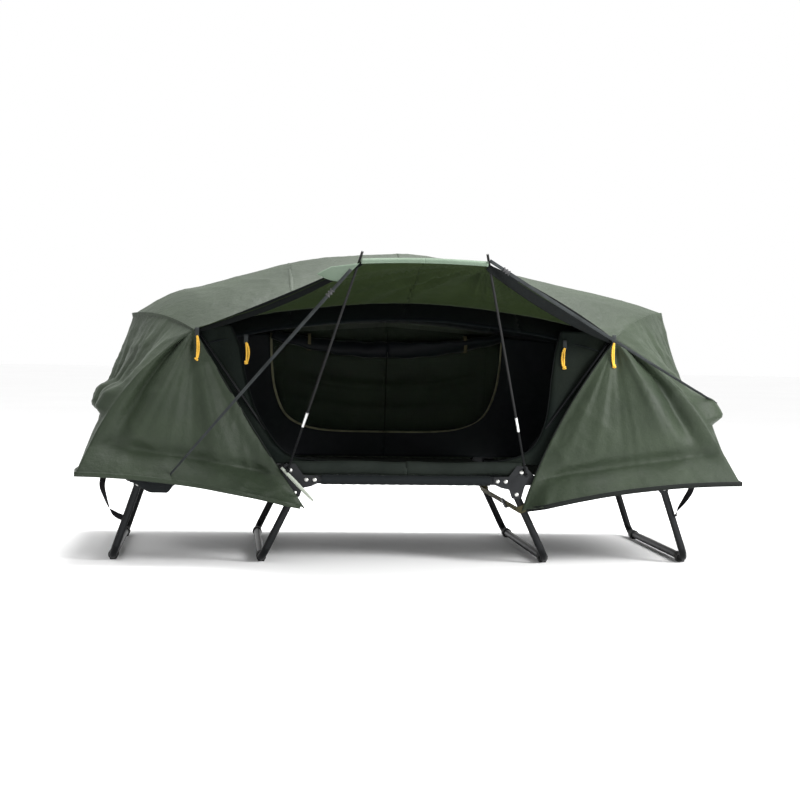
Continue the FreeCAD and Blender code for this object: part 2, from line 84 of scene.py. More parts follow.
def read_line(curve_object):
    """The points along a curve that has no bevel, after which the curve is removed."""
    bpy.context.view_layer.update()
    graph = bpy.context.evaluated_depsgraph_get()
    mesh = bpy.data.meshes.new_from_object(curve_object.evaluated_get(graph))
    line = [v.co.copy() for v in mesh.vertices]
    bpy.data.meshes.remove(mesh)
    bpy.data.objects.remove(curve_object)
    return line


def smooth(t):
    t = max(0.0, min(1.0, t))
    return t * t * (3 - 2 * t)


def mix(a, b, t):
    return a + (b - a) * t


def bell(value, centre, width):
    """One at the centre, falling away smoothly over the width."""
    return math.exp(-(((value - centre) / width) ** 2))


def new_object(name, bm, material, subdivide=0, thickness=0.0):
    mesh = bpy.data.meshes.new(name)
    bm.to_mesh(mesh)
    bm.free()
    for face in mesh.polygons:
        face.use_smooth = True
    mesh.materials.append(material)
    ob = bpy.data.objects.new(name, mesh)
    bpy.context.collection.objects.link(ob)
    if thickness:
        solid = ob.modifiers.new("thickness", "SOLIDIFY")
        solid.thickness = thickness
        solid.offset = 0.0
    if subdivide:
        ob.modifiers.new("subdivision", "SUBSURF").levels = subdivide
        ob.modifiers["subdivision"].render_levels = subdivide
    return ob


def section_tube(name, line, section, material, closed_ends=True, width_axis=None, twist=0.0):
    """A skin round a line. section lists (across, out) offsets, and width_axis aims its across side."""
    bm = bmesh.new()
    uv_layer = bm.loops.layers.uv.new("UVMap")
    rings, run, count = [], 0.0, len(line)
    across = None
    for i, p in enumerate(line):
        along = (line[min(i + 1, count - 1)] - line[max(i - 1, 0)]).normalized()
        if width_axis is not None:
            across = V(width_axis) - along * along.dot(V(width_axis))
        elif across is None:
            across = along.orthogonal()
        else:
            across = across - along * along.dot(across)
        across = across.normalized()
        out = along.cross(across)
        angle = twist * i / (count - 1)
        a = across * math.cos(angle) + out * math.sin(angle)
        b = out * math.cos(angle) - across * math.sin(angle)
        if i:
            run += (p - line[i - 1]).length
        rings.append(([bm.verts.new(p + a * s[0] + b * s[1]) for s in section], run))
    n = len(section)
    reach = [0.0]
    for k in range(n):
        s, t = section[k], section[(k + 1) % n]
        reach.append(reach[-1] + math.hypot(t[0] - s[0], t[1] - s[1]))
    for (low, v0), (high, v1) in zip(rings, rings[1:]):
        for k in range(n):
            face = bm.faces.new((low[k], low[(k + 1) % n], high[(k + 1) % n], high[k]))
            spots = ((reach[k], v0), (reach[k + 1], v0), (reach[k + 1], v1), (reach[k], v1))
            for loop, spot in zip(face.loops, spots):
                loop[uv_layer].uv = spot
    if closed_ends:
        bm.faces.new(list(reversed(rings[0][0])))
        bm.faces.new(rings[-1][0])
    return new_object(name, bm, material)


def angles(count, last=0):
    """Angles evenly round a circle, and the full turn as well when last is 1."""
    return [2 * math.pi * k / count for k in range(count + last)]


def round_section(radius, count=12):
    return [(radius * math.cos(a), radius * math.sin(a)) for a in angles(count)]


STRAP_CORNERS = 8


def strap_section(width, thick):
    """A flat tape's outline of STRAP_CORNERS points, with its long edges eased."""
    w, t = width / 2, thick / 2
    lower = [(-w, -t * 0.4), (-w * 0.92, -t), (w * 0.92, -t), (w, -t * 0.4)]
    upper = [(w, t * 0.4), (w * 0.92, t), (-w * 0.92, t), (-w, t * 0.4)]
    return lower + upper


# ---- materials ------------------------------------------------------------------------------


class Look:
    """A small helper that builds one node material."""

    def __init__(self, name):
        self.material = bpy.data.materials.new(name)
        self.material.use_nodes = True
        self.tree = self.material.node_tree
        self.shader = self.tree.nodes["Principled BSDF"]
        self.place = self.tree.nodes.new("ShaderNodeTexCoord")

    def node(self, kind, **settings):
        made = self.tree.nodes.new(kind)
        for key, value in settings.items():
            setattr(made, key, value)
        return made

    def link(self, a, b):
        self.tree.links.new(a, b)

    def noise(self, scale, detail=3.0, rough=0.55, stretch=(1, 1, 1)):
        mapping = self.node("ShaderNodeMapping")
        mapping.inputs["Scale"].default_value = stretch
        self.link(self.place.outputs["Object"], mapping.inputs["Vector"])
        made = self.node("ShaderNodeTexNoise")
        made.inputs["Scale"].default_value = scale
        made.inputs["Detail"].default_value = detail
        made.inputs["Roughness"].default_value = rough
        self.link(mapping.outputs["Vector"], made.inputs["Vector"])
        return made.outputs["Fac"]

    def bands(self, scale, direction, distortion=0.0):
        made = self.node("ShaderNodeTexWave", bands_direction=direction, wave_profile="SIN")
        made.inputs["Scale"].default_value = scale
        made.inputs["Distortion"].default_value = distortion
        made.inputs["Detail"].default_value = 1.0
        self.link(self.place.outputs["UV"], made.inputs["Vector"])
        return made.outputs["Fac"]

    def math(self, operation, a, b):
        made = self.node("ShaderNodeMath", operation=operation)
        for socket, value in zip(made.inputs, (a, b)):
            if hasattr(value, "links"):
                self.link(value, socket)
            else:
                socket.default_value = value
        return made.outputs[0]

    def ramp(self, value, stops):
        """The colour at two spots, blended between them."""
        made = self.node("ShaderNodeValToRGB")
        for element, (spot, colour) in zip(made.color_ramp.elements, stops):
            element.position = spot
            element.color = (*colour, 1.0)
        self.link(value, made.inputs["Fac"])
        return made.outputs["Color"]

    def varied(self, value, colour, spread):
        """The colour, darker and lighter by the spread as the value goes from low to high."""
        dark = [c * (1 - spread) for c in colour]
        light = [min(1.0, c * (1 + spread)) for c in colour]
        return self.ramp(value, [(0.3, dark), (0.7, light)])

    def blend(self, share, a, b, how="MIX"):
        made = self.node("ShaderNodeMix", data_type="RGBA", blend_type=how)
        if hasattr(share, "links"):
            self.link(share, made.inputs["Factor"])
        else:
            made.inputs["Factor"].default_value = share
        for socket, value in ((made.inputs["A"], a), (made.inputs["B"], b)):
            if hasattr(value, "links"):
                self.link(value, socket)
            else:
                socket.default_value = (*value, 1.0)
        return made.outputs["Result"]

    def colour(self, value):
        self.link(value, self.shader.inputs["Base Color"])

    def rough(self, value, low, high):
        made = self.node("ShaderNodeMapRange")
        made.inputs["To Min"].default_value = low
        made.inputs["To Max"].default_value = high
        self.link(value, made.inputs["Value"])
        self.link(made.outputs["Result"], self.shader.inputs["Roughness"])

    def bump(self, value, strength, distance):
        made = self.node("ShaderNodeBump")
        made.inputs["Strength"].default_value = strength
        made.inputs["Distance"].default_value = distance
        self.link(value, made.inputs["Height"])
        previous = self.shader.inputs["Normal"]
        if previous.is_linked:
            self.link(previous.links[0].from_socket, made.inputs["Normal"])
        self.link(made.outputs["Normal"], previous)

    def set(self, **values):
        for key, value in values.items():
            self.shader.inputs[key.replace("_", " ")].default_value = value


# a wave texture's scale for bands one metre apart
BANDS_PER_METRE = 0.314


def cloth_look(
    name, light, dark, thread=0.0011, crumple=0.35, through=None, sheen=0.04, low=0.62, high=0.82, shine=0.15
):
    """Coated plain weave: thread bumps, crumples, blotches, and light coming through when asked."""
    look = Look(name)
    blotch = look.noise(5.0, 4.0, 0.6)
    grain = look.noise(900.0, 2.0, 0.6)
    crease = look.noise(38.0, 5.0, 0.62)
    shade = look.ramp(blotch, [(0.32, dark), (0.68, light)])
    speck = look.ramp(grain, [(0.3, (0.82, 0.82, 0.82)), (0.7, (1.0, 1.0, 1.0))])
    colour = look.blend(0.8, shade, speck, "MULTIPLY")
    look.colour(colour)
    look.rough(blotch, low, high)
    scale = BANDS_PER_METRE / thread
    weave = look.math("MULTIPLY", look.bands(scale, "X"), look.bands(scale, "Y"))
    look.bump(weave, 0.22, 0.0005)
    look.bump(crease, crumple, 0.004)
    look.bump(look.noise(13.0, 5.0, 0.6), crumple * 0.8, 0.011)
    look.set(Sheen_Weight=sheen, Sheen_Roughness=0.45, Specular_IOR_Level=shine)
    look.shader.inputs["Sheen Tint"].default_value = (0.80, 0.92, 0.78, 1.0)
    if through:
        share, tint = through
        thin = look.node("ShaderNodeBsdfTranslucent")
        look.link(look.blend(1.0, colour, tint, "MULTIPLY"), thin.inputs["Color"])
        both = look.node("ShaderNodeMixShader")
        both.inputs["Fac"].default_value = share
        look.link(look.shader.outputs[0], both.inputs[1])
        look.link(thin.outputs[0], both.inputs[2])
        look.link(both.outputs[0], look.tree.nodes["Material Output"].inputs["Surface"])
    return look.material


def metal_look(name, colour, low, high, wear, metallic=0.0, wear_share=0.5, shine=0.5):
    """Painted or plated metal: orange peel, handling marks and lighter worn edges."""
    look = Look(name)
    cloud = look.noise(28.0, 4.0, 0.6)
    marks = look.noise(120.0, 6.0, 0.7, (1, 1, 0.25))
    edge = look.node("ShaderNodeNewGeometry").outputs["Pointiness"]
    rubbed = look.math("MULTIPLY", look.ramp(edge, [(0.54, (0, 0, 0)), (0.62, (1, 1, 1))]), wear_share)
    tint = look.varied(cloud, colour, 0.15)
    look.colour(look.blend(rubbed, tint, wear))
    look.rough(marks, low, high)
    look.bump(look.noise(900.0, 2.0, 0.5), 0.12, 0.0004)
    look.bump(marks, 0.05, 0.0006)
    look.set(Metallic=metallic, Specular_IOR_Level=shine)
    return look.material


def webbing_look(name, colour, rib=0.0016):
    """Woven narrow tape: ribs across and a herringbone of threads along."""
    look = Look(name)
    across = look.bands(BANDS_PER_METRE / rib, "Y")
    along = look.bands(BANDS_PER_METRE / (rib * 1.6), "X", distortion=0.4)
    weave = look.math("ADD", across, look.math("MULTIPLY", along, 0.6))
    fuzz = look.noise(700.0, 3.0, 0.6)
    worn = look.noise(22.0, 3.0, 0.6)
    tint = look.varied(worn, colour, 0.25)
    shade = look.ramp(fuzz, [(0.3, (0.7, 0.7, 0.7)), (0.7, (1, 1, 1))])
    look.colour(look.blend(0.6, tint, shade, "MULTIPLY"))
    look.rough(worn, 0.7, 0.9)
    look.bump(weave, 0.5, 0.0006)
    look.set(Sheen_Weight=0.0, Specular_IOR_Level=0.08)
    return look.material


def plastic_look(name, colour, low=0.45, high=0.62):
    """Moulded plastic or rubber with a fine grain."""
    look = Look(name)
    cloud = look.noise(60.0, 4.0, 0.6)
    look.colour(look.varied(cloud, colour, 0.2))
    look.rough(cloud, low, high)
    look.bump(look.noise(1400.0, 2.0, 0.5), 0.15, 0.0003)
    return look.material


FLY = cloth_look(
    "fly_cloth", (0.026, 0.038, 0.021), (0.018, 0.027, 0.015),
    crumple=0.45, through=(0.06, (1.0, 1.0, 0.5)), sheen=0.06, low=0.42, high=0.6, shine=0.24,
)
# pale sage cloth for the awning lip and the corner flap: the paleness is painted light, for cloth tops lit
# from above
LIP_PAINTED_LIGHT = cloth_look("lip_cloth_painted_light", (0.17, 0.22, 0.17), (0.12, 0.17, 0.12), crumple=0.5, sheen=0.1)
AWNING = cloth_look(
    "awning_cloth", (0.027, 0.043, 0.012), (0.020, 0.033, 0.009),
    through=(0.38, (1.0, 1.0, 0.35)), sheen=0.04,
)
TRIM = cloth_look("dark_binding", (0.006, 0.008, 0.007), (0.004, 0.005, 0.004), thread=0.0008, crumple=0.15)
INNER = cloth_look(
    "inner_cloth", (0.006, 0.009, 0.006), (0.003, 0.006, 0.005),
    crumple=0.3, sheen=0.02, shine=0.1, through=(0.1, (1.0, 1.0, 0.8)),
)
NET = cloth_look(
    "inner_net", (0.003, 0.006, 0.006), (0.002, 0.003, 0.005),
    thread=0.0016, crumple=0.2, low=0.5, high=0.7,
)
WINDOW_NET = cloth_look(
    "window_net", (0.006, 0.016, 0.007), (0.004, 0.011, 0.005),
    thread=0.0018, crumple=0.2, sheen=0.02, shine=0.1,
)
WINDOW_NET.node_tree.nodes["Principled BSDF"].inputs["Alpha"].default_value = 0.22
BED = cloth_look("bed_cloth", (0.007, 0.009, 0.010), (0.004, 0.006, 0.007), thread=0.0016, crumple=0.15)
SILL = cloth_look("sill_cloth", (0.009, 0.013, 0.010), (0.005, 0.008, 0.006), thread=0.0013, crumple=0.3)
BINDING = webbing_look("olive_binding", (0.16, 0.16, 0.10), 0.0012)
GREY_WEB = webbing_look("grey_webbing", (0.034, 0.038, 0.039))
BLACK_WEB = webbing_look("black_webbing", (0.005, 0.005, 0.006))
OLIVE_WEB = webbing_look("olive_webbing", (0.075, 0.068, 0.036))
GOLD = webbing_look("gold_cord", (0.72, 0.42, 0.06), 0.0012)
STEEL = metal_look(
    "black_powder_coat", (0.0035, 0.004, 0.0045), 0.32, 0.5,
    wear=(0.04, 0.042, 0.045), wear_share=0.35, shine=0.12,
)
POLE = metal_look(
    "black_pole_coat", (0.003, 0.0035, 0.004), 0.36, 0.5,
    wear=(0.03, 0.03, 0.03), wear_share=0.3, shine=0.12,
)
STAY = metal_look("grey_stay", (0.26, 0.29, 0.24), 0.5, 0.68, metallic=0.2, wear=(0.4, 0.42, 0.38), shine=0.3)
ZINC = metal_look("zinc_plate", (0.62, 0.62, 0.60), 0.28, 0.45, metallic=1.0, wear=(0.75, 0.75, 0.73))
ALLOY = metal_look("satin_alloy", (0.66, 0.68, 0.67), 0.3, 0.42, metallic=1.0, wear=(0.8, 0.8, 0.8))
RUBBER = plastic_look("black_rubber", (0.008, 0.008, 0.008), 0.7, 0.88)
BUCKLE = plastic_look("black_buckle", (0.02, 0.02, 0.022))
# near-black zip tape: partly the tape's own dark colour, and on the awning edge partly painted shade for the
# band lying in shadow
ZIP_BLACK_AND_SHADE = webbing_look("zip_tape_and_painted_shade", (0.003, 0.004, 0.004), 0.0022)

# ---- shape of the fly -----------------------------------------------------------------------

SIDES = {
    "left": {
        "sign": -1,
        "ridge": [
            (0, 1.072), (0.2, 1.057), (0.36, 1.036), (0.53, 0.992),
            (0.70, 0.943), (0.79, 0.922), (0.87, 0.884), (0.945, 0.836),
        ],
        "corner": V((0.722, -0.405, 0.782)),
        "foot": V((0.347, -0.472, 0.190)),
        "hem": V((1.100, -0.488, 0.300)),
        "edge_bow": -0.006,
        "fold_bow": 0.052,
        "hood_reach": 0.034,
        "ray_depth": 0.013,
        "lip_droop": 1.0,
        "awning_zip_shade_band": (0.030, 0.006),
    },
    "right": {
        "sign": 1,
        "ridge": [
            (0, 1.072), (0.105, 1.067), (0.3, 1.033), (0.6, 0.970),
            (0.754, 0.938), (0.80, 0.928), (0.906, 0.900), (0.985, 0.874),
        ],
        "corner": V((0.720, -0.405, 0.776)),
        "foot": V((0.394, -0.472, 0.185)),
        "hem": V((1.138, -0.488, 0.288)),
        "edge_bow": 0.034,
        "fold_bow": 0.058,
        "hood_reach": 0.054,
        "ray_depth": 0.008,
        "lip_droop": 0.2,
        "awning_zip_shade_band": (0.052, 0.010),
    },
}
EAVE_MID = V((0, -0.365, 0.884))
REAR_HEM = V((FOLD_X, -0.488, 0.205))
CROWN = 0.085
# cloths that meet at the fold line or the middle overlap by this much
FOLD_LAP = 0.006
CENTRE_LAP = 0.003
# the hem band starts this share of the way down, and turns outward over the next share
HEM_BAND = 0.83
HEM_TURN = 0.2
# height and depth of the creases in the rear of the middle
REAR_CREASES = ((0.578, 0.016), (0.492, 0.011))
TIP_X, TIP_Y, TIP_Z = 0.200, -0.862, 1.002


def curve_at(points, x):
    """A smooth height between the given (x, z) points."""
    x = max(points[0][0], min(points[-1][0], x))
    for i in range(len(points) - 1):
        (x0, z0), (x1, z1) = points[i], points[i + 1]
        if x <= x1:
            break
    before = points[max(i - 1, 0)]
    after = points[min(i + 2, len(points) - 1)]
    m0 = (z1 - before[1]) / max(x1 - before[0], 1e-6)
    m1 = (after[1] - z0) / max(after[0] - x0, 1e-6)
    t, h = (x - x0) / (x1 - x0), x1 - x0
    return (
        (2 * t**3 - 3 * t**2 + 1) * z0
        + (t**3 - 2 * t**2 + t) * h * m0
        + (3 * t**2 - 2 * t**3) * z1
        + (t**3 - t**2) * h * m1
    )


class Fly:
    """The fly's outline on one side, worked out for +X and mirrored at the end."""

    def __init__(self, side):
        data = SIDES[side]
        self.data, self.sign, self.points = data, data["sign"], data["ridge"]
        self.corner, self.foot, self.hem = data["corner"], data["foot"], data["hem"]
        self.edge_bow, self.fold_bow = data["edge_bow"], data["fold_bow"]
        self.tip = V((self.points[-1][0], 0, self.points[-1][1]))
        self.hem_mid = V((self.hem.x - 0.01, 0, 0.30))

    def ridge(self, x):
        return V((x, 0, curve_at(self.points, x)))

    def eave(self, x):
        share = (x / self.corner.x) ** 2
        middle, corner = EAVE_MID, self.corner
        return V((x, mix(middle.y, corner.y, share), mix(middle.z, corner.z, share)))

    def roof(self, start, end_ridge, end_eave):
        def surface(u, v):
            lean = abs(2 * v - 1)
            top = self.ridge(mix(start, end_ridge, u))
            low = self.eave(mix(start, end_eave, u))
            if v > 0.5:
                low.y = -low.y
            p = mix(top, low, lean)
            p.z += CROWN * lean * (1 - lean)
            return p

        return surface

    def fold(self, v):
        """The tension fold from the corner down to the hem."""
        bow = self.fold_bow * 4 * v * (1 - v) * (1.15 - 0.3 * v)
        return mix(self.corner, self.hem, v) + V((0.86 * bow, -0.1 * bow - 0.046 * self.flare(v), 0.5 * bow))

    def door(self, v):
        return mix(self.corner, self.foot, v) - V((self.edge_bow * 4 * v * (1 - v), 0, 0))

    def flare(self, v):
        """How far the loose hem band has kicked outward, as a share."""
        t = (v - HEM_BAND) / (1 - HEM_BAND)
        if t > HEM_TURN:
            return t
        return max(0.0, HEM_TURN * smooth(t / HEM_TURN * 0.5 + 0.5) * 2 - HEM_TURN)

    def front(self, u, v):
        p = mix(self.door(v), self.fold(v), u)
        p.z += 0.024 * 4 * u * (1 - u) * v**5
        p.y -= 0.022 * math.sin(math.pi * u) * math.sin(math.pi * v) ** 1.7
        p.y -= 0.050 * self.flare(v) * (smooth(u / 0.10) - u)
        tuck = bell(v, 0.825, 0.055) * smooth(u / 0.15) * (1 - smooth((u - 0.86) / 0.14))
        p.y += 0.020 * tuck
        valley = smooth((v - 0.02) / 0.10) * (1 - smooth((v - 0.55) / 0.35))
        p.y += (0.030 * bell(u, 0.87, 0.055) - 0.014 * bell(u, 0.70, 0.09)) * valley
        p.y += 0.014 * bell(u, 0.45, 0.07) * valley * (1 - v)
        reach = V((p.x - self.corner.x, 0, p.z - self.corner.z))
        far = reach.length
        if far > 1e-4:
            angle = math.atan2(reach.x, -reach.z)
            rays = noise.noise(V((angle * 5.2 + 3.1 * self.sign, far * 0.9, 2.0)))
            fine = noise.noise(V((angle * 13.0, far * 2.0, 7.0 + self.sign)))
            fade = smooth(far / 0.28) * (1 - smooth((u - 0.86) / 0.14)) * smooth(u / 0.1)
            p.y -= (self.data["ray_depth"] * rays + 0.004 * fine) * fade
        return p

    def end(self, u, v):
        across = abs(2 * u - 1)
        corner, hem = self.corner.copy(), self.hem.copy()
        bow = self.fold(v) - mix(self.corner, self.hem, v)
        if u > 0.5:
            corner.y, hem.y, bow.y = -corner.y, -hem.y, -bow.y
        top = mix(self.tip, corner, across)
        top.z += CROWN * across * (1 - across)
        low = mix(self.hem_mid, hem, across)
        p = mix(top, low, v) + bow * across**2
        body = smooth((1 - across) / 0.25)
        rise = smooth((v - 0.43) / 0.10) * (1 - smooth((v - 0.61) / 0.05))
        p.x += self.data["hood_reach"] * rise * smooth((1 - across) / 0.14)
        p.z += 0.012 * rise * smooth((1 - across) / 0.14)
        fold = noise.noise(V((across * 6.5 + (4 if u > 0.5 else 0), v * 0.9, 11.0 * self.sign)))
        crease = 1 - abs(noise.noise(V((across * 9.0, v * 1.1 + u, 5.0 + self.sign))))
        p.x += (0.028 * fold + 0.014 * crease**4) * math.sin(math.pi * v) * smooth((1 - across) / 0.1)
        p.x += 0.012 * self.flare(v) * body
        return p

    def rear(self, u, v):
        top = self.eave(mix(FOLD_X - FOLD_LAP, self.corner.x, u))
        low = mix(REAR_HEM, self.hem, u)
        p = mix(top, low, v)
        bow = self.fold(v) - mix(self.corner, self.hem, v)
        p += bow * u**2
        p.z += 0.02 * 4 * u * (1 - u) * v**5
        p.y -= 0.02 * self.flare(v) * (1 - u) + 0.012 * math.sin(math.pi * u) * math.sin(math.pi * v)
        p.y = -p.y
        return p

    def middle_rear(self, u, v):
        x = mix(-CENTRE_LAP, FOLD_X, u)
        p = mix(self.eave(x), V((x, REAR_HEM.y, REAR_HEM.z)), v)
        sag = p.z - 0.30 * x * x
        for height, size in REAR_CREASES:
            p.y -= size * smooth((FOLD_X - abs(x)) / 0.12) * bell(sag, height, 0.016)
        p.y -= 0.02 * self.flare(v)
        p.y = -p.y
        return p

    def awning(self, u, v):
        v = mix(-0.004, 1.0, v)
        base = self.eave(self.corner.x * v)
        lip = V((TIP_X * v, TIP_Y, mix(1.008, TIP_Z, v * v)))
        p = mix(base, lip, u)
        p.z += 0.020 * math.sin(math.pi * u) * (1 - abs(v) ** 3)
        p.z -= 0.016 * math.sin(math.pi * u) * v**4 * self.data["lip_droop"]
        reach = p - V((TIP_X * self.sign, TIP_Y, TIP_Z))
        angle = math.atan2(reach.x * self.sign, reach.y)
        rays = noise.noise(V((angle * 6.0, reach.length * 0.8, 20.0)))
        sharp = (1 - abs(noise.noise(V((angle * 7.0, reach.length * 1.1, 43.0))))) ** 9
        streak = noise.noise(V((p.x * self.sign * 3.0 + p.y * 9.0, p.x * self.sign * 1.2, 31.0)))
        fade = math.sin(math.pi * u) ** 0.7 * smooth((1 - v) / 0.15)
        p.z += (0.022 * rays + 0.010 * streak - 0.020 * sharp) * fade
        return p


def ruffle(p):
    """Small handling creases, the same wherever two pieces meet."""
    q = p * 5.0
    ridge_one = (1 - abs(noise.noise(q + V((7, 3, 1))))) ** 6
    ridge_two = (1 - abs(noise.noise(p * 11.0 + V((1, 9, 4))))) ** 8
    broad = noise.noise(p * 2.6 + V((5, 5, 5)))
    fine = (1 - abs(noise.noise(p * 23.0 + V((2, 6, 8))))) ** 6
    patch = smooth(0.5 + 1.6 * noise.noise(p * 3.3 + V((8, 1, 2))))
    flat = 1 - 0.6 * smooth((p.z - 0.80) / 0.08)
    creases = flat * 0.0045 * ridge_one + flat * 0.0030 * ridge_two * patch + flat * 0.0022 * fine * patch
    return creases + 0.005 * broad


def cloth_piece(name, sign, patches, material, crease=1.0, thickness=0.0012, keep_face=None):
    """One continuous sheet from surfaces that share their edges: (surface, cells, cells, length, length)."""
    bm = bmesh.new()
    uv_layer = bm.loops.layers.uv.new("UVMap")
    for index, (surface, nu, nv, length_u, length_v) in enumerate(patches):
        grid = [[bm.verts.new(surface(i / nu, j / nv)) for j in range(nv + 1)] for i in range(nu + 1)]
        for i in range(nu):
            for j in range(nv):
                if keep_face and not keep_face(index, (i + 0.5) / nu, (j + 0.5) / nv):
                    continue
                corners = (grid[i][j], grid[i + 1][j], grid[i + 1][j + 1], grid[i][j + 1])
                spots = ((i, j), (i + 1, j), (i + 1, j + 1), (i, j + 1))
                face = bm.faces.new(corners)
                for loop, (a, b) in zip(face.loops, spots):
                    loop[uv_layer].uv = (a / nu * length_u, b / nv * length_v)
    loose = [v for v in bm.verts if not v.link_faces]
    bmesh.ops.delete(bm, geom=loose, context="VERTS")
    bmesh.ops.remove_doubles(bm, verts=bm.verts, dist=0.0004)
    bmesh.ops.recalc_face_normals(bm, faces=bm.faces)
    bm.normal_update()
    if crease:
        moves = [(v, v.normal.copy() * crease * ruffle(V((v.co.x * sign, v.co.y, v.co.z)))) for v in bm.verts]
        for v, move in moves:
            v.co += move
    for v in bm.verts:
        v.co = put((v.co.x * sign, v.co.y, v.co.z))
    if sign < 0:
        bmesh.ops.reverse_faces(bm, faces=bm.faces)
    return new_object(name, bm, material, thickness=thickness)


def line_piece(name, sign, points, section, material, width_axis=None, twist=0.0):
    line = [put((p[0] * sign, p[1], p[2])) for p in points]
    return section_tube(name, line, section, material, width_axis=width_axis, twist=twist)


def mirror(p, sign):
    return V((p.x * sign, p.y, p.z))


def taper(ob, line, share):
    """Narrow a strap toward its line by the given share of its width."""
    for v in ob.data.vertices:
        i = v.index // STRAP_CORNERS
        v.co = mix(line[i], v.co, share(i / (len(line) - 1)))


def soft(ob, body, nodes=()):
    """The piece rides on a body, with its own copy of the mesh, and the named CAD parts are hidden."""
    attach(ob, body)
    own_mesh(ob)
    if nodes:
        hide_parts(*nodes)
    return ob


for side in ("left", "right"):
    fly = Fly(side)
    sign, end, middle = fly.sign, f"{side}_end", "center"

    # the end of the fly: roof, front, end and rear as one cloth
    patches = [
        (fly.roof(FOLD_X - FOLD_LAP, fly.tip.x, fly.corner.x), 56, 90, 0.5, 1.1),
        (fly.front, 72, 84, 0.7, 0.6),
        (fly.end, 90, 84, 1.0, 0.6),
        (fly.rear, 56, 84, 0.6, 0.65),
    ]
    shell = soft(
        cloth_piece(f"fly_{side}_end", sign, patches, FLY), end, [f"{side}_fly_end"]
    )
    patches = [
        (fly.roof(-CENTRE_LAP, FOLD_X, FOLD_X), 40, 90, 0.4, 1.1),
        (fly.middle_rear, 40, 90, 0.4, 0.7),
    ]
    top = soft(
        cloth_piece(f"fly_{side}_middle", sign, patches, FLY), middle, [f"{side}_fly_middle"],
    )
    lifted = soft(
        cloth_piece(f"awning_{side}", sign, [(fly.awning, 40, 40, 0.55, 0.7)], AWNING, 0.6), middle,
        [f"{side}_awning"],
    )

    # trims along the fly's edges
    steps = [i / 40 for i in range(41)]
    door_line = [fly.front(0, v) + V((0, -0.002, 0)) for v in steps]
    piping = line_piece(f"door_edge_{side}", sign, door_line, round_section(0.0026, 8), TRIM)
    soft(piping, end)
    # the lip strap's pale colour is painted light, for the top of the fly lit from above
    lip_line = [fly.awning(1.0, v) + V((0, -0.001, 0)) for v in steps]
    lip = line_piece(f"awning_lip_{side}", sign, lip_line, strap_section(0.016, 0.007), LIP_PAINTED_LIGHT, (0, 0.55, 1))
    soft(lip, middle)
    # the awning's edge band of zip and flap: its near-black colour is partly the zip's own and partly painted
    # shade, for the band seen in shadow
    tall, drop = fly.data["awning_zip_shade_band"]
    zip_line = [put(mirror(fly.awning(u, 0.985) - V((0, 0, drop)), sign)) for u in steps]
    tape = section_tube(
        f"awning_zip_shade_band_{side}", zip_line, strap_section(tall, 0.003), ZIP_BLACK_AND_SHADE, width_axis=(0.35 * sign, 0, 1)
    )
    taper(tape, zip_line, lambda t: 0.35 + 0.65 * math.sin(math.pi * t) ** 0.8)
    soft(tape, middle)
    visor_line = [fly.end(0.5 * (1 - a), 0.0) for a in steps]
    visor_line = [p + V((0.003, -0.003, -0.008)) for p in reversed(visor_line)]
    visor_line += [V((p.x, -p.y, p.z)) for p in reversed(visor_line[:-1])]
    brim = line_piece(
        f"visor_{side}", sign, visor_line, strap_section(0.026, 0.004), FLY, width_axis=(0.22, 0, -1)
    )
    soft(brim, end)

    hem_line = [fly.front(0.02 + 0.98 * t, 1.0) for t in steps] + [fly.end(t, 1.0) for t in steps[1:]]
    hem_line += [fly.rear(1 - t, 1.0) for t in steps[1:]]
    hem_line = [p + V((0, 0, 0.002)) for p in hem_line]
    hem_cloth = TRIM if side == "right" else FLY
    bound = line_piece(
        f"hem_binding_{side}", sign, hem_line, strap_section(0.016, 0.008), hem_cloth, (0, 0, 1)
    )
    soft(bound, end)

    seam_line = [fly.roof(FOLD_X, fly.tip.x, fly.corner.x)(0, v) + V((-0.003, 0, 0.0022)) for v in steps]
    seam = line_piece(
        f"roof_seam_{side}", sign, seam_line, strap_section(0.014, 0.0016), FLY, width_axis=(1, 0, 0)
    )
    soft(seam, middle)
    seam_line = [fly.middle_rear(1.0, v) + V((-0.003, 0.0022, 0)) for v in steps]
    seam = line_piece(
        f"rear_seam_{side}", sign, seam_line, strap_section(0.014, 0.0016), FLY, width_axis=(1, 0, 0)
    )
    soft(seam, middle)

    # ridge pole under the roof
    ridge_line = [fly.ridge(mix(0.001, fly.tip.x - 0.012, t)) - V((0, 0, 0.014)) for t in steps]
    pole = line_piece(f"ridge_pole_{side}", sign, ridge_line, round_section(0.0045), POLE)
    soft(pole, middle, [f"{side}_ridge_pole"])

# ---- inner tent -----------------------------------------------------------------------------

# the inner roof hangs this far under the fly
ROOF_GAP = 0.070
DOOR = {
    "left": [
        (0.60, 0.80), (0.568, 0.730), (0.550, 0.642), (0.532, 0.575), (0.511, 0.515), (0.483, 0.464),
        (0.428, 0.390), (0.367, 0.357), (0.25, 0.343),
    ],
    "right": [
        (0.535, 0.80), (0.517, 0.735), (0.502, 0.640), (0.493, 0.563), (0.481, 0.494), (0.458, 0.435),
        (0.430, 0.397), (0.379, 0.365), (0.28, 0.346),
    ],
}
WINDOW = [
    (0.0, 0.405), (0.20, 0.408), (0.31, 0.425), (0.385, 0.470), (0.425, 0.56), (0.44, 0.66), (0.445, 0.78)
]


